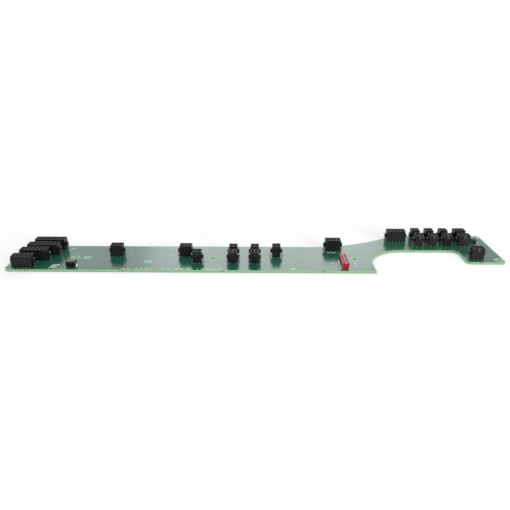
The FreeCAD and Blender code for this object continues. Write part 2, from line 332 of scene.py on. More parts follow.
def makeLaminate(holePlaces, holeRadius, nickPlaces):
    # bare glass cloth on top, cut edges in layers, and the film's own tone and shine underneath
    material, tree, shader = newMaterial("boardLaminate")
    place = objectPlace(tree)
    along = splitVector(tree, place)
    height = along[2]
    flat = addNode(tree, "ShaderNodeCombineXYZ")
    feed(tree, flat.inputs[0], along[0])
    feed(tree, flat.inputs[1], along[1])
    fromNick = distanceTo(tree, flat.outputs[0], nickPlaces)
    fromHole = distanceTo(tree, flat.outputs[0], holePlaces)
    edge, layerMask = cutEdgeTone(tree, place, height, fromNick, fromHole, holeRadius)

    weave = useGroup(tree, glassWeave, Place=place)
    grain = useGroup(tree, surfaceGrain, Place=place, Fine=3000.0, Slow=160.0)
    face = mixColour(tree, weave["Crossings"], laminateFinish["face"], laminateFinish["faceDeep"])
    blotch = mathNode(tree, "MULTIPLY", grain["Blotch"], laminateFinish["blotch"])
    face = mixColour(tree, blotch, face, laminateFinish["faceDeep"])
    onTop = mathNode(tree, "GREATER_THAN", height, topZ - laminateFinish["faceDepth"])
    under = mathNode(tree, "LESS_THAN", height, laminateFinish["faceDepth"])
    nearHole = mathNode(tree, "LESS_THAN", fromHole, laminateFinish["bareRing"])
    filmed = mathNode(tree, "MULTIPLY", under, mathNode(tree, "SUBTRACT", 1.0, nearHole))
    colour = mixColour(tree, mathNode(tree, "MAXIMUM", onTop, under), edge, face)
    colour = mixColour(tree, filmed, colour, filmColour(tree, place)[0])
    feed(tree, shader.inputs["Base Color"], colour)

    rough = swing(tree, grain["Grain"], *laminateFinish["roughness"])
    smoother = mathNode(tree, "SUBTRACT", laminateFinish["filmRoughness"], rough)
    feed(tree, shader.inputs["Roughness"], mathNode(tree, "MULTIPLY_ADD", filmed, smoother, rough))
    feed(tree, shader.inputs["Coat Weight"], filmed)
    feed(tree, shader.inputs["Coat Roughness"], maskFinish["coatRoughness"])
    woven = mathNode(tree, "MULTIPLY", weave["Height"], 0.4)
    bumpy = mathNode(tree, "MULTIPLY_ADD", layerMask, 0.6, woven)
    feed(tree, shader.inputs["Normal"], bumpNormal(tree, bumpy, laminateFinish["relief"], 0.04 * mm))
    return material


ridgeLightValues = {
    # half width of the middle ridge, where the side ridges start, and how soft their borders are
    "middle": 0.35 * mm, "side": 1.95 * mm, "soft": 0.15 * mm,
    # painted highlight tone for the ridges, painted shade tone for the channels
    "ridge": (0.74, 0.36, 0.38, 1), "channelShade": (0.20, 0.006, 0.014, 1)}


def paintedRidgeLight(tree, place):
    # painted light on the red header's top: three pale ridges of painted highlight, at its middle and long
    # sides, with two darker channels of painted shade between them; the distance from the header's middle
    # decides
    low, high = nodeBox("ribbon_header_housing")
    across = splitVector(tree, place)[0]
    away = mathNode(tree, "ABSOLUTE", mathNode(tree, "SUBTRACT", across, (low[0] + high[0]) / 2))
    middle, side, soft = (ridgeLightValues[key] for key in ("middle", "side", "soft"))
    inMiddle = smoothStep(tree, away, middle + soft, middle - soft)
    atSide = smoothStep(tree, away, side - soft, side + soft)
    ridge = mathNode(tree, "MAXIMUM", inMiddle, atSide)
    return mixColour(tree, ridge, ridgeLightValues["channelShade"], ridgeLightValues["ridge"])


mouldingFinishes = {
    # patchy: tone of the slow blotches; rim: painted highlight tone of the edges; edge: their radius in
    # the shading;
    # top: painted reflection tone of the upward faces, which the red moulding takes from its painted
    # ridges
    "blackMoulding": {
        "colour": (0.0060, 0.0060, 0.0064, 1), "patchy": (0.016, 0.016, 0.0165, 1),
        "rim": (0.075, 0.075, 0.077, 1), "top": (0.0060, 0.0060, 0.0064, 1),
        "roughness": (0.35, 0.45), "gloss": 0.22, "edge": 0.16 * mm},
    "redMoulding": {
        "colour": (0.30, 0.008, 0.011, 1), "patchy": (0.36, 0.014, 0.018, 1),
        "rim": (0.66, 0.19, 0.20, 1),
        "roughness": (0.33, 0.43), "gloss": 0.26, "edge": 0.16 * mm},
    "capacitorCase": {
        "colour": (0.008, 0.007, 0.007, 1), "patchy": (0.016, 0.013, 0.012, 1),
        "rim": (0.10, 0.075, 0.065, 1), "top": (0.17, 0.122, 0.104, 1),
        "roughness": (0.21, 0.31), "gloss": 0.13, "edge": 0.18 * mm}}
mouldingShared = {"dustColour": (0.16, 0.16, 0.155, 1), "dust": 0.30, "blotch": 0.22, "relief": 0.18}


def makeMoulding(name):
    # glossy filled plastic: rounded edges in the shading with a painted highlight tone on them, grain,
    # faint flow blotches, dust, and upward faces with a painted reflection tone of their own
    values = {**mouldingShared, **mouldingFinishes[name]}
    material, tree, shader = newMaterial(name)
    place = objectPlace(tree)
    grain = useGroup(tree, surfaceGrain, Place=place, Fine=7000.0, Slow=260.0)
    specks = useGroup(tree, dust, Place=place, Amount=values["dust"])["Mask"]
    blotch = mathNode(tree, "MULTIPLY", grain["Blotch"], values["blotch"])
    tone = mixColour(tree, blotch, values["colour"], values["patchy"])
    facing = splitVector(tree, addNode(tree, "ShaderNodeNewGeometry").outputs["Normal"])
    paintedTopReflection = values["top"] if "top" in values else paintedRidgeLight(tree, place)
    # painted reflection: faces that point up take the lighter top tone
    tone = mixColour(tree, smoothStep(tree, facing[2], 0.80, 0.97), tone, paintedTopReflection)
    rounded = addNode(tree, "ShaderNodeBevel", samples=4)
    feed(tree, rounded.inputs["Radius"], values["edge"])
    # painted highlight: edges are tinted towards the lighter edge tone
    rim = useGroup(tree, rimWear, Rounded=rounded.outputs[0], Place=place)["Mask"]
    tone = mixColour(tree, rim, tone, values["rim"])
    feed(tree, shader.inputs["Base Color"], mixColour(tree, specks, tone, values["dustColour"]))
    rough = swing(tree, grain["Blotch"], *values["roughness"])
    feed(tree, shader.inputs["Roughness"], mathNode(tree, "MULTIPLY_ADD", specks, 0.3, rough))
    relief = bumpNormal(tree, grain["Grain"], values["relief"], 0.03 * mm, rounded.outputs[0])
    feed(tree, shader.inputs["Normal"], relief)
    feed(tree, shader.inputs["Specular IOR Level"], values["gloss"])
    return material


metalFinishes = {
    # dull: tone of the slow patches; relief: strength of the grain
    # the first three are tin darkened well below its own tone, painted shade that keeps feet, pads and
    # fillets dim; brightTin keeps tin's own tone
    "shadedTinPlate": {"colour": (0.27, 0.265, 0.25, 1), "dull": (0.15, 0.145, 0.135, 1),
                 "roughness": (0.42, 0.58), "relief": 0.12},
    "solder": {"colour": (0.23, 0.23, 0.22, 1), "dull": (0.12, 0.12, 0.115, 1),
               "roughness": (0.38, 0.54), "relief": 0.06},
    "shadedPadTin": {"colour": (0.20, 0.225, 0.19, 1), "dull": (0.12, 0.14, 0.11, 1),
               "roughness": (0.45, 0.61), "relief": 0.10},
    "flatTin": {"colour": (0.36, 0.43, 0.36, 1), "dull": (0.28, 0.35, 0.29, 1),
                "roughness": (0.45, 0.61), "relief": 0.08},
    "brightTin": {"colour": (0.90, 0.89, 0.87, 1), "dull": (0.72, 0.71, 0.69, 1),
                  "roughness": (0.34, 0.50), "relief": 0.08}}


def makeMetal(name):
    # tin: dull and bright patches, roughness that follows them, faint grain
    values = metalFinishes[name]
    material, tree, shader = newMaterial(name)
    grain = useGroup(tree, surfaceGrain, Place=objectPlace(tree), Fine=5200.0, Slow=700.0)
    tone = mixColour(tree, grain["Blotch"], values["colour"], values["dull"])
    feed(tree, shader.inputs["Base Color"], tone)
    feed(tree, shader.inputs["Roughness"], swing(tree, grain["Blotch"], *values["roughness"]))
    feed(tree, shader.inputs["Metallic"], 1.0)
    feed(tree, shader.inputs["Normal"], bumpNormal(tree, grain["Grain"], values["relief"], 0.03 * mm))
    return material


inkFinish = {
    "colour": (0.74, 0.76, 0.73, 1), "thin": (0.38, 0.47, 0.42, 1), "thinShare": 0.45,
    "roughness": (0.38, 0.58), "relief": 0.2}


def makeInk():
    # white printed ink that lets the green through where it lies thin
    material, tree, shader = newMaterial("whiteInk")
    grain = useGroup(tree, surfaceGrain, Place=objectPlace(tree), Fine=3800.0, Slow=900.0)
    thin = mathNode(tree, "MULTIPLY", grain["Blotch"], inkFinish["thinShare"])
    feed(tree, shader.inputs["Base Color"], mixColour(tree, thin, inkFinish["colour"], inkFinish["thin"]))
    feed(tree, shader.inputs["Roughness"], swing(tree, grain["Grain"], *inkFinish["roughness"]))
    relief = bumpNormal(tree, grain["Grain"], inkFinish["relief"], 0.02 * mm)
    feed(tree, shader.inputs["Normal"], relief)
    return material


boreShadeFinish = {
    "boreShade": (0.035, 0.040, 0.018, 1), "paleFleck": (0.16, 0.17, 0.08, 1), "roughness": 0.8, "relief": 0.3}


def makePaintedBoreShade():
    # painted shade for the inside of a bore: a near black brown, with paler flecks in it
    material, tree, shader = newMaterial("paintedBoreShade")
    strands = noiseNode(tree, objectPlace(tree), scale=2600.0, detail=3.0, roughness=0.7)
    flecks = smoothStep(tree, strands, 0.55, 0.8)
    tone = mixColour(tree, flecks, boreShadeFinish["boreShade"], boreShadeFinish["paleFleck"])
    feed(tree, shader.inputs["Base Color"], tone)
    feed(tree, shader.inputs["Roughness"], boreShadeFinish["roughness"])
    feed(tree, shader.inputs["Normal"], bumpNormal(tree, flecks, boreShadeFinish["relief"], 0.03 * mm))
    return material


def gridFaces(rows, columns):
    # four corners of each cell of a grid whose vertices run row by row
    a = (np.arange(rows - 1)[:, None] * columns + np.arange(columns - 1)[None, :]).ravel()
    return np.stack([a, a + columns, a + columns + 1, a + 1], axis=1)


def repeatMesh(vertices, faces, places):
    # one shape set down at each place: vertices (v,3) and places (n,3) give (n*v,3)
    everywhere = (vertices[None, :, :] + places[:, None, :]).reshape(-1, 3)
    step = np.arange(len(places))[:, None, None] * len(vertices)
    return everywhere, (faces[None, :, :] + step).reshape(-1, faces.shape[1])


def joinMeshes(parts):
    # vertices one after the other, and faces that count on from the vertices before them
    starts = np.cumsum([0] + [len(vertices) for vertices, faces in parts[:-1]])
    joined = [faces + start for (vertices, faces), start in zip(parts, starts)]
    return np.concatenate([vertices for vertices, faces in parts]), np.concatenate(joined)


weldDistance = 0.0001 * mm
sharpAngle = math.radians(50)


def addPiece(name, vertices, faces, material, slotName, smooth=False):
    # welding closes the seams and poles, and a closed mesh then has its faces turned outwards
    mesh = bpy.data.meshes.new(name)
    mesh.vertices.add(len(vertices))
    mesh.vertices.foreach_set("co", np.asarray(vertices, np.float32).ravel())
    corners = faces.shape[1]
    mesh.loops.add(faces.size)
    mesh.loops.foreach_set("vertex_index", np.asarray(faces, np.int32).ravel())
    mesh.polygons.add(len(faces))
    mesh.polygons.foreach_set("loop_start", np.arange(0, faces.size, corners, dtype=np.int32))
    mesh.polygons.foreach_set("use_smooth", np.full(len(faces), smooth))
    mesh.update(calc_edges=True)
    mesh.validate()
    weld = bmesh.new()
    weld.from_mesh(mesh)
    bmesh.ops.remove_doubles(weld, verts=weld.verts, dist=weldDistance)
    if not any(edge.is_boundary for edge in weld.edges):
        bmesh.ops.recalc_face_normals(weld, faces=weld.faces)
    weld.to_mesh(mesh)
    weld.free()
    if smooth:
        mesh.set_sharp_from_angle(angle=sharpAngle)
    mesh.materials.append(material)
    piece = bpy.data.objects.new(name, mesh)
    bpy.context.scene.collection.objects.link(piece)
    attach(piece, "root")
    return piece


plateCorners = np.array([[x, y, z] for z in (0, 1) for y in (0, 1) for x in (0, 1)], float)
plateFaces = np.array([
    [0, 2, 3, 1], [4, 5, 7, 6], [0, 1, 5, 4], [2, 6, 7, 3], [0, 4, 6, 2], [1, 3, 7, 5]])


def plates(low, high):
    # flat plates: each corner is low + (high - low) * (0 or 1)
    corners = low[:, None, :] + (high - low)[:, None, :] * plateCorners[None]
    step = np.arange(len(low))[:, None, None] * len(plateCorners)
    return corners.reshape(-1, 3), (plateFaces[None] + step).reshape(-1, 4)


ways = np.array([(0, 1), (-1, 0), (0, -1), (1, 0)])  # where +Y points after 0 to 3 quarter turns


def spotPlates(spots, past, under, half, bottom, top):
    # a plate at each spot: from past its toe to under its metal, and half to both sides
    place, way = spots[:, :2], ways[spots[:, 2].astype(int)]
    ends = np.stack([place + way * past, place - way * under])
    aside = np.abs(way[:, ::-1]) * half
    low, high = ends.min(axis=0) - aside, ends.max(axis=0) + aside
    level = np.ones((len(spots), 1))
    return plates(np.hstack([low, level * bottom]), np.hstack([high, level * top]))


# sizes of the metal in the frame's headers and parts
headerPitch, terminalWidth = 3.0 * mm, 0.64 * mm
clipHalfWidth, clipBeyondEar = 0.8 * mm, 0.4 * mm
ribbonPitch, ribbonLeadWidth = 1.27 * mm, 0.5 * mm


def readHeaders():
    # columns, middle, rows' toes and housing's ends of each header, from the boxes of its nodes
    found = []
    for name in sorted(frame["nodes"]):
        if name.startswith("header_") and name.endswith("_terminals"):
            low, high = nodeBox(name)
            bodyLow, bodyHigh = nodeBox(name.replace("_terminals", "_housing"))
            columns = int(round((high[0] - low[0] - terminalWidth) / headerPitch)) + 1
            middle = (low + high) / 2
            found.append({"columns": columns, "x": middle[0], "y": middle[1], "front": low[1],
                          "back": high[1], "left": bodyLow[0], "right": bodyHigh[0]})
    return found


headers = readHeaders()


def tailSpots():
    # a spot is x and y of a toe, and the quarter turns that point +Y its way
    spots = []
    for header in headers:
        xs = header["x"] + (np.arange(header["columns"]) - (header["columns"] - 1) / 2) * headerPitch
        spots += [(x, header["front"], 2) for x in xs] + [(x, header["back"], 0) for x in xs]
    return np.array(spots)


def clipSpots(beyond):
    # both ends of each housing, moved out by beyond
    spots = []
    for header in headers:
        spots.append((header["left"] - beyond, header["y"], 1))
        spots.append((header["right"] + beyond, header["y"], 3))
    return np.array(spots)


def ribbonSpots():
    # alternate leads point to opposite sides, one pitch apart
    low, high = nodeBox("ribbon_header_contacts")
    count = int(round((high[1] - low[1] - ribbonLeadWidth) / ribbonPitch)) + 1
    y = low[1] + ribbonLeadWidth / 2 + np.arange(count) * ribbonPitch
    leftward = np.arange(count) % 2 == 0
    return np.stack([np.where(leftward, low[0], high[0]), y, np.where(leftward, 1, 3)], axis=1)


def capacitorJoint(name):
    # half width of the two leads, and their spots
    low, high = nodeBox(name)
    middle = (low[1] + high[1]) / 2
    return (high[1] - low[1]) / 2, np.array([(low[0], middle, 1), (high[0], middle, 3)])


def screwHoles():
    # middles of the screw holes, each mount's place plus and minus half of its spacing, and radius
    places = []
    for mount in frame["record"]["mounts"]:
        dims, middle = mount.get("dims") or {}, np.array(mount["pos_m"][:2])
        half = np.array([dims.get("spacing_x_mm", 0.0), dims.get("spacing_y_mm", 0.0)]) * mm / 2
        if mount["kind"] == "bolt_pattern":
            places += [middle - half, middle + half]
        elif mount["kind"] == "bore":
            places.append(middle)
            radius = dims["r_mm"] * mm
    return np.array(places), radius


filmValues = {
    # margin: bare rim inside the outline; holeRing: radius of the opening round each screw hole;
    # step: spacing of the points along the edge, found on a line of fineStep with a disc of shifts
    "thickness": 0.03 * mm, "margin": 0.90 * mm, "holeRing": 4.0 * mm,
    "step": 0.55 * mm, "fineStep": 0.02 * mm, "shifts": 43, "rimPoints": 96}
openings = {
    # bare places in the film: x and y on the board, half sizes in mm, and whether round
    "frontMark": (222.9, 3.6, 2.5, 2.1, True), "stripMark": (40.2, 44.8, 2.4, 1.9, True),
    "padMark": (57.7, 25.6, 3.5, 3.1, True), "squarePatch": (108.6, 17.5, 3.4, 2.9, False)}
filmTop = topZ + filmValues["thickness"]
snap = 0.001 * mm  # corners closer than this are one
tiny = 1e-9  # keeps a division from 0


def topEdges(node):
    # straight pieces of the lines where the node's top face ends: edges of its top triangles
    # that no other top triangle shares
    mesh = frame["nodes"][node].data
    points = np.empty(len(mesh.vertices) * 3, np.float32)
    mesh.vertices.foreach_get("co", points)
    points = points.reshape(-1, 3)
    mesh.calc_loop_triangles()
    triangles = np.empty(len(mesh.loop_triangles) * 3, np.int32)
    mesh.loop_triangles.foreach_get("vertices", triangles)
    rounded, index = np.unique(np.round(points / snap).astype(np.int64), axis=0, return_inverse=True)
    triangles = index.ravel()[triangles].reshape(-1, 3)
    place = rounded * snap
    triangles = triangles[(place[triangles][:, :, 2] > topZ - 10 * snap).all(axis=1)]
    edges = np.concatenate([triangles[:, [0, 1]], triangles[:, [1, 2]], triangles[:, [2, 0]]])
    forward = edges[:, 0] * len(place) + edges[:, 1]
    backward = edges[:, 1] * len(place) + edges[:, 0]
    return place[edges[~np.isin(forward, backward)]][:, :, :2]


def outlineAt(edges, xs):
    # for each x, the lowest and highest crossing of the outline with the line along Y
    x0, x1 = edges[:, 0, 0], edges[:, 1, 0]
    y0, y1 = edges[:, 0, 1], edges[:, 1, 1]
    crosses = (np.minimum(x0, x1)[None] <= xs[:, None]) & (np.maximum(x0, x1)[None] >= xs[:, None])
    run = np.where(np.abs(x1 - x0) < tiny, tiny, x1 - x0)
    share = np.clip((xs[:, None] - x0[None]) / run[None], 0, 1)
    y = y0[None] + share * (y1 - y0)[None]
    return np.where(crosses, y, np.inf).min(axis=1), np.where(crosses, y, -np.inf).max(axis=1)


def insetOutline(edges, margin):
    # the film keeps a disc of radius margin away from the outline: at each x the edge is the
    # largest of outline(x + s) + sqrt(margin^2 - s^2) over the disc's width
    fine = np.arange(boardLow[0] + snap, boardHigh[0], filmValues["fineStep"])
    front, back = outlineAt(edges, fine)
    shifts = np.linspace(-margin, margin, filmValues["shifts"])
    reach = np.sqrt(np.maximum(margin ** 2 - shifts ** 2, 0))
    keep = (fine > boardLow[0] + margin) & (fine < boardHigh[0] - margin)
    xs = fine[keep]
    frontIn = np.max([np.interp(xs + s, fine, front) + r for s, r in zip(shifts, reach)], axis=0)
    backIn = np.min([np.interp(xs + s, fine, back) - r for s, r in zip(shifts, reach)], axis=0)
    return xs, frontIn, backIn


def filmOutline(edges):
    # points spaced evenly along the film's front and back edges, so that a wall across the board
    # is followed too, as one loop that runs out along the front and home along the back
    xs, front, back = insetOutline(edges, filmValues["margin"])
    walk = (np.hypot(np.diff(xs), np.diff(front)) + np.hypot(np.diff(xs), np.diff(back))) / 2
    along = np.concatenate([[0.0], np.cumsum(walk)])
    stations = np.linspace(0, along[-1], int(along[-1] / filmValues["step"]))
    column = np.interp(stations, along, xs)
    low, high = np.interp(stations, along, front), np.interp(stations, along, back)
    return np.concatenate([np.stack([column, low], axis=1), np.stack([column, high], axis=1)[::-1]])


def openingRim(x, y, halfX, halfY, isRound):
    # an ellipse by its angle, or the four corners of a rectangle
    corners = filmValues["rimPoints"] if isRound else 4
    angle = (np.arange(corners) + 0.5) * 2 * math.pi / corners
    stretch = 1.0 if isRound else math.sqrt(2)
    return np.stack([x + halfX * stretch * np.cos(angle), y + halfY * stretch * np.sin(angle)], axis=1)


def makeFilm(material, holes):
    # the outline and all openings are triangulated together, and the triangles that lie in the
    # outline and in no opening are kept
    ring = filmValues["holeRing"]
    loops = [filmOutline(topEdges("circuit_board"))]
    loops += [openingRim(x, y, ring, ring, True) for x, y in holes]
    for x, y, halfX, halfY, isRound in openings.values():
        loops.append(openingRim(*onBoard(x, y), halfX * mm, halfY * mm, isRound))
    starts = np.cumsum([0] + [len(loop) for loop in loops])
    borders = [list(range(first, last)) for first, last in zip(starts[:-1], starts[1:])]
    corners = [Vector(point) for point in np.concatenate(loops)]
    cut = geometry.delaunay_2d_cdt(corners, [], borders, 1, weldDistance)
    flat, triangles, owners = np.array(cut[0]), cut[2], cut[5]
    kept = [triangle for triangle, owner in zip(triangles, owners) if list(owner) == [0]]
    used, faces = np.unique(np.array(kept), return_inverse=True)
    vertices = np.insert(flat[used], 2, filmTop, axis=1)
    film = addPiece("solder_mask_film", vertices, faces.reshape(-1, 3), material, "board")
    solid = film.modifiers.new("thickness", "SOLIDIFY")
    solid.thickness, solid.offset = filmValues["thickness"], -1
    return film


padThickness = 0.035 * mm
padTop = filmTop + padThickness
jointValues = {
    # pad: how far it goes past the toe, under the metal and beside it; solder: its length along
    # the metal, how far it spreads and how high it climbs; all in mm
    "tail": {"past": 0.12, "under": 1.40, "beside": 0.16, "length": 0.60, "spread": 0.16, "climb": 0.30},
    "clip": {"past": 0.22, "under": 1.25, "beside": 0.20, "length": 0.60, "spread": 0.16, "climb": 0.30},
    "lead": {"past": 0.35, "under": 1.30, "beside": 0.13, "length": 0.90, "spread": 0.20, "climb": 0.20},
    "strip": {"past": 0.90, "under": 1.50, "beside": 0.25, "length": 0.02, "spread": 0.70, "climb": 0.80}}
solderRings = 5


def headerJoints():
    # kind of joint, half width of its metal, and its spots
    return [("tail", terminalWidth / 2, tailSpots()), ("clip", clipHalfWidth, clipSpots(clipBeyondEar))]


def brightJoints():
    leads = [("lead", ribbonLeadWidth / 2, ribbonSpots())]
    large, small = (capacitorJoint("capacitor_" + size + "_leads") for size in ("large", "small"))
    return leads + [("strip", *large), ("strip", *small)]


def makePads(joints, material):
    # a flat plate under each joint, and past it to all sides
    parts = []
    for kind, metalHalf, spots in joints:
        past, under, beside = (jointValues[kind][key] * mm for key in ("past", "under", "beside"))
        parts.append(spotPlates(spots, past, under, metalHalf + beside, topZ, padTop))
    return addPiece("solder_pads", *joinMeshes(parts), material, "tin_plate")


def filletShape(metalHalf, kind):
    # solder drawn up round metal that points along +Y with its toe at 0: a path down one side,
    # round the toe and up the other, with a profile that falls as (1 - t)^2 while it moves out by t
    length, spread, climb = (jointValues[kind][key] * mm for key in ("length", "spread", "climb"))
    diagonal = math.sqrt(0.5)
    side = np.array([(-metalHalf, -length)] * 2 + [(-metalHalf, 0)] * 3)
    outward = np.array([(0, 0), (-1, 0), (-1, 0), (-diagonal, diagonal), (0, 1)])
    path = np.concatenate([side, side[::-1] * (-1, 1)])[None]
    outward = np.concatenate([outward, outward[::-1] * (-1, 1)])[None]
    # the profile comes back under the solder to its start, and both ends shrink to a point
    t = np.concatenate([np.linspace(0, 1, solderRings), [0, 0]])[:, None]
    rise = climb * (1 - t) ** 2
    rise[-2] = 0
    standing = np.ones(path.shape[1])
    standing[[0, -1]] = 0
    out = path + outward * spread * t[:, :, None]
    shape = np.concatenate([out, (rise * standing)[:, :, None]], axis=2)
    return shape.reshape(-1, 3), gridFaces(*shape.shape[:2])[:, ::-1]


def turned(shape, quarter):
    # the same shape turned about Z by quarter times 90 degrees
    cosine, sine = round(math.cos(quarter * math.pi / 2)), round(math.sin(quarter * math.pi / 2))
    turn = np.array([[cosine, -sine, 0], [sine, cosine, 0], [0, 0, 1]])
    vertices, faces = shape
    return vertices @ turn.T, faces


def makeSolder(name, joints, material):
    # each kind's shape, turned and set down on the pads at all its spots
    parts = []
    for kind, metalHalf, spots in joints:
        for quarter in np.unique(spots[:, 2]):
            places = spots[spots[:, 2] == quarter]
            places[:, 2] = padTop
            parts.append(repeatMesh(*turned(filletShape(metalHalf, kind), quarter), places))
    return addPiece(name, *joinMeshes(parts), material, "tin_plate", smooth=True)


discValues = {
    # radius of each kind; the bevel ends at the shoulder's share of the height; vias: plated holes
    # that show as pale dots, x and y on the board in mm
    "target": 0.50 * mm, "via": 0.36 * mm, "test": 1.8 * mm, "bevel": 0.03 * mm, "shoulder": 0.6,
    "vias": ((38.6, 22.7), (38.2, 31.1), (33.1, 39.4), (32.6, 48.2),
             (256.3, 23.9), (335.4, 50.1), (349.8, 49.3), (363.6, 44.1))}


def discs(middles, radius, bevel, height):
    # surface of revolution: the profile goes from the middle out, over a bevel, down and home
    bevelFoot = height * discValues["shoulder"]
    profile = np.array([[0, height], [radius - bevel, height], [radius, bevelFoot], [radius, 0], [0, 0]])
    angle = np.linspace(0, 2 * math.pi, 33)
    x, y = profile[:, 0, None] * np.cos(angle), profile[:, 0, None] * np.sin(angle)
    z = np.broadcast_to(profile[:, 1, None], x.shape)
    shape = np.stack([x, y, z], axis=2).reshape(-1, 3)
    return repeatMesh(shape, gridFaces(len(profile), len(angle)), np.array(middles))


def makeDots(name, kind, places, base, material):
    # low metal discs at places on the board
    middles = [(*onBoard(*place), base) for place in places]
    vertices, faces = discs(middles, discValues[kind], discValues["bevel"], padThickness)
    return addPiece(name, vertices, faces, material, "tin_plate")


inkThickness = 0.012 * mm
numberValues = {
    # row along the front edge: words, and x of their middle; loose: words, x and y on the board,
    # size, and shear; all in mm; outlines move out by bold times the size
    "bold": 0.024, "rowSize": 3.3, "rowY": 2.6,
    "row": (("10 11", 94.2), ("12 13 14", 105.4), ("5", 113.4), ("6", 122.2), ("17", 126.5),
            ("18 19", 134.6), ("20", 142.0), ("1", 149.3), ("22 23 24 25", 159.6)),
    "loose": (("608", 37.3, 9.5, 3.9, 0.35), ("38", 35.4, 5.6, 5.4, 0.35),
              ("24", 272.1, 15.4, 2.4, 0.0), ("104", 254.6, 16.0, 2.8, 0.35),
              ("13 257", 256.4, 38.2, 2.9, 0.0), ("5", 92.2, 31.2, 2.1, 0.0),
              ("60 6", 125.8, 30.4, 2.3, 0.0), ("1 13", 270.4, 46.3, 2.3, 0.0))}


def numberMesh(words, x, y, size, sheared=0.0):
    # numerals as thick as the ink, with their middle at x and y on the board
    curve = bpy.data.curves.new("numerals", "FONT")
    curve.body, curve.shear, curve.size = words, sheared, size * mm
    curve.offset = numberValues["bold"] * curve.size
    curve.align_x, curve.align_y = "CENTER", "CENTER"
    curve.resolution_u, curve.extrude = 3, inkThickness / 2
    holder = bpy.data.objects.new("numerals", curve)
    mesh = bpy.data.meshes.new_from_object(holder)
    mesh.calc_loop_triangles()
    points = np.empty(len(mesh.vertices) * 3, np.float32)
    mesh.vertices.foreach_get("co", points)
    triangles = np.empty(len(mesh.loop_triangles) * 3, np.int32)
    mesh.loop_triangles.foreach_get("vertices", triangles)
    bpy.data.objects.remove(holder)
    bpy.data.curves.remove(curve)
    bpy.data.meshes.remove(mesh)
    middle = np.array([*onBoard(x, y), filmTop + inkThickness / 2])
    return points.reshape(-1, 3).astype(float) + middle, triangles.reshape(-1, 3)


def makeNumbers(material):
    # plain numbers: one row along the front edge and a few loose ones
    rowY, rowSize = numberValues["rowY"], numberValues["rowSize"]
    parts = [numberMesh(words, x, rowY, rowSize) for words, x in numberValues["row"]]
    parts += [numberMesh(*loose) for loose in numberValues["loose"]]
    return addPiece("printed_numbers", *joinMeshes(parts), material, "board")


strokeValues = {"place": (272.2, 9.2), "halfWidth": 0.175, "halfLength": 2.7}  # in mm on the board


def makeStrokes(material):
    # one printed line across the board
    (x, y), aside, along = strokeValues["place"], strokeValues["halfWidth"], strokeValues["halfLength"]
    low = np.array([[*onBoard(x - aside, y - along), filmTop]])
    high = np.array([[*onBoard(x + aside, y + along), filmTop + inkThickness]])
    return addPiece("printed_strokes", *plates(low, high), material, "board")


clipTipValues = {
    # a tip reaches from outer to inner off its housing's end, half to both sides, and from sunk in
    # its ear to rise above it; earTop is above the board
    "earTop": 6.3 * mm, "inner": 0.6 * mm, "outer": 0.2 * mm, "half": 0.62 * mm,
    "sunk": 0.05 * mm, "rise": 0.25 * mm}


def makeClipTips(material):
    # the end of each solder clip, where it comes up through its ear
    ear = topZ + clipTipValues["earTop"]
    bottom, top = ear - clipTipValues["sunk"], ear + clipTipValues["rise"]
    inner, outer, half = (clipTipValues[key] for key in ("inner", "outer", "half"))
    vertices, faces = spotPlates(clipSpots(0.0), -outer, inner, half, bottom, top)
    return addPiece("clip_tips", vertices, faces, material, "tin_plate")


breakoutValues = {
    # where panel tabs were snapped off: x and y on the board in mm of each pair of bores; depth:
    # that of the nick; gap: from its middle to each bore; spare: kept clear of the underside
    "places": ((15.5, 0.0), (90.5, 0.0), (167.8, 0.0), (245.9, 0.0), (324.5, 44.6), (373.2, 18.8)),
    "depth": 0.35 * mm, "gap": 0.78 * mm, "radius": 0.34 * mm, "spare": 0.01 * mm}


def findNicks():
    # middle of each nick's floor
    edges = [onBoard(*place) for place in breakoutValues["places"]]
    return [(x, y + breakoutValues["depth"]) for x, y in edges]


def makeBreakoutBores(material):
    # two drilled bores that break out at the floor of each nick, as solid discs in a near black tone:
    # painted shade for the inside of each bore
    gap, radius, spare = (breakoutValues[key] for key in ("gap", "radius", "spare"))
    base = boardLow[2] + spare
    middles = [(x + side * gap, y + radius / 2, base) for x, y in findNicks() for side in (-1, 1)]
    vertices, faces = discs(middles, radius, spare, topZ - boardLow[2])
    return addPiece("breakout_bores", vertices, faces, material, "board")


holes, holeRadius = screwHoles()
filmMaterial = makeMaskFilm()
laminateMaterial = makeLaminate(holes, holeRadius, findNicks())
mouldings = {name: makeMoulding(name) for name in mouldingFinishes}
metals = {name: makeMetal(name) for name in metalFinishes}
inkMaterial = makeInk()
print("finishes made")

makeFilm(filmMaterial, holes)
# pads and header fillets are in tin darkened as painted shade; the bright solder keeps tin's own tone
makePads(headerJoints() + brightJoints(), metals["shadedPadTin"])
makeSolder("solder_fillets", headerJoints(), metals["solder"])
makeSolder("bright_solder", brightJoints(), metals["brightTin"])
targets = [openings[name][:2] for name in ("frontMark", "stripMark")]
makeDots("target_dots", "target", targets, topZ, metals["brightTin"])
makeDots("via_lands", "via", discValues["vias"], filmTop, metals["brightTin"])
makeDots("test_pad", "test", [openings["padMark"][:2]], topZ, metals["flatTin"])
makeNumbers(inkMaterial)
makeStrokes(inkMaterial)
makeClipTips(metals["brightTin"])
makeBreakoutBores(makePaintedBoreShade())
print("film, pads, solder and print made")


namedFinishes = {
    "circuit_board": laminateMaterial, "ribbon_header_housing": mouldings["redMoulding"],
    "ribbon_header_contacts": metals["brightTin"], "capacitor_large_leads": metals["brightTin"],
    "capacitor_large_body": mouldings["capacitorCase"], "capacitor_small_body": mouldings["blackMoulding"]}


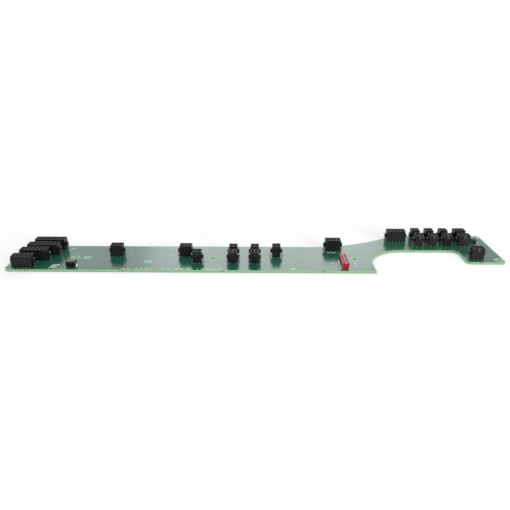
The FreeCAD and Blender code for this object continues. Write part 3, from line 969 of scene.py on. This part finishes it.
def finishNodes():
    # of the nodes that aren't named above, housings are black and the rest is tinned metal, darkened as
    # painted shade
    for name, node in frame["nodes"].items():
        other = mouldings["blackMoulding"] if name.endswith("_housing") else metals["shadedTinPlate"]
        node.data.materials.clear()
        node.data.materials.append(namedFinishes.get(name, other))


finishNodes()


def seenDirectly(tree):
    # 1 for rays from the camera, a mirror or a clear body, otherwise 0
    rays = addNode(tree, "ShaderNodeLightPath").outputs
    mirrored = mathNode(tree, "MAXIMUM", rays["Is Glossy Ray"], rays["Is Transmission Ray"])
    return mathNode(tree, "MAXIMUM", rays["Is Camera Ray"], mirrored)


floorValues = {
    # lift: distance in metres from the middle, and glow there
    "half": 4.0, "drop": 0.2 * mm, "colour": (0.86, 0.86, 0.86, 1),
    "liftFrom": (0.1, 0.145), "liftTo": (1.6, 0.46)}


def makeFloor():
    material, tree, shader = newMaterial("paleFloor")
    feed(tree, shader.inputs["Base Color"], floorValues["colour"])
    feed(tree, shader.inputs["Roughness"], 0.9)
    feed(tree, shader.inputs["Specular IOR Level"], 0.0)
    feed(tree, shader.inputs["Emission Color"], (1, 1, 1, 1))
    # the glow grows with the distance, as the lamps' light fades, so that the near shadow stays
    away = addNode(tree, "ShaderNodeVectorMath", operation="LENGTH")
    feed(tree, away.inputs[0], objectPlace(tree))
    (nearAt, nearLift), (farAt, farLift) = floorValues["liftFrom"], floorValues["liftTo"]
    beyond = mathNode(tree, "SUBTRACT", away.outputs["Value"], nearAt)
    share = mathNode(tree, "DIVIDE", beyond, farAt - nearAt, clamp=True)
    lift = swing(tree, share, nearLift, farLift)
    feed(tree, shader.inputs["Emission Strength"], mathNode(tree, "MULTIPLY", seenDirectly(tree), lift))
    reach, level = floorValues["half"], -floorValues["drop"]
    corners = [(x, y, level) for x in (-reach, reach) for y in (-reach, reach)]
    mesh = bpy.data.meshes.new("floor")
    mesh.from_pydata(corners, [], [(0, 2, 3, 1)])
    mesh.materials.append(material)
    floor = bpy.data.objects.new("floor", mesh)
    bpy.context.scene.collection.objects.link(floor)


worldFill = 0.66  # the white room's strength on the object; seen directly it is 1


def makeWorld():
    world = bpy.data.worlds.new("studioWhite")
    bpy.context.scene.world = world
    world.use_nodes = True
    tree = world.node_tree
    background = tree.nodes["Background"]
    feed(tree, background.inputs["Color"], (1, 1, 1, 1))
    feed(tree, background.inputs["Strength"], swing(tree, seenDirectly(tree), worldFill, 1.0))


lampValues = {
    "overhead": {"place": (-0.15, -0.10, 0.95), "aim": (0.0, 0.0, 0.0), "size": (1.0, 0.8), "level": 0.9},
    "behind": {"place": (0.02, 1.15, 0.62), "aim": (0.0, 0.0, 0.0), "size": (0.76, 0.95), "level": 0.88},
    "right": {"place": (0.55, -0.75, 0.22), "aim": (0.15, 0.0, 0.0), "size": (0.5, 0.36), "level": 8.0}}


def makeLamp(name):
    # a soft box whose face shines at the level given: watts = level * pi * area
    values = lampValues[name]
    lamp = bpy.data.lights.new(name, "AREA")
    lamp.shape, (lamp.size, lamp.size_y) = "RECTANGLE", values["size"]
    lamp.energy = values["level"] * math.pi * values["size"][0] * values["size"][1]
    holder = bpy.data.objects.new(name, lamp)
    bpy.context.scene.collection.objects.link(holder)
    place = Vector(values["place"])
    holder.location = place
    holder.rotation_euler = (Vector(values["aim"]) - place).to_track_quat("-Z", "Y").to_euler()
    holder.visible_camera = False


cardValues = {
    "left": 0.50, "right": 1.30, "y": 0.90, "bottom": 0.10, "top": 0.90, "colour": (0.80, 0.80, 0.80, 1)}


def makeCard():
    # a grey card out of the picture, which the tab end mirrors instead of the white room
    material, tree, shader = newMaterial("greyCard")
    feed(tree, shader.inputs["Base Color"], cardValues["colour"])
    feed(tree, shader.inputs["Roughness"], 0.9)
    left, right, y, bottom, top = (cardValues[key] for key in ("left", "right", "y", "bottom", "top"))
    mesh = bpy.data.meshes.new("card")
    corners = [(left, y, bottom), (right, y, bottom), (right, y, top), (left, y, top)]
    mesh.from_pydata(corners, [], [(0, 1, 2, 3)])
    mesh.materials.append(material)
    card = bpy.data.objects.new("card", mesh)
    bpy.context.scene.collection.objects.link(card)
    card.visible_camera = False


viewValues = {
    # place, lens and sensor in mm, turns in degrees
    "place": (0.43, -423.12, 167.44), "down": 21.7798, "left": 0.5183, "roll": 0.0958,
    "lens": 38.502, "sensor": 36.0, "clipStart": 10.0}


def makeCamera():
    # down and left turn the view from straight along +Y, and roll turns it about itself
    down, left, roll = (math.radians(viewValues[key]) for key in ("down", "left", "roll"))
    forward = Vector((-math.sin(left) * math.cos(down), math.cos(left) * math.cos(down), -math.sin(down)))
    right = Vector((math.cos(left), math.sin(left), 0))
    up = right.cross(forward)
    level = math.cos(roll) * right + math.sin(roll) * up
    tall = math.cos(roll) * up - math.sin(roll) * right
    lens = bpy.data.cameras.new("camera")
    lens.lens, lens.sensor_width = viewValues["lens"], viewValues["sensor"]
    lens.clip_start = viewValues["clipStart"] * mm
    holder = bpy.data.objects.new("camera", lens)
    turn = Matrix((level, tall, -forward)).transposed().to_4x4()
    holder.matrix_world = Matrix.Translation(Vector(viewValues["place"]) * mm) @ turn
    bpy.context.scene.collection.objects.link(holder)
    bpy.context.scene.camera = holder


makeFloor()
makeWorld()
for lampName in lampValues:
    makeLamp(lampName)
makeCard()
makeCamera()
bpy.context.scene.view_settings.view_transform = "Standard"
print("floor, light and camera set")
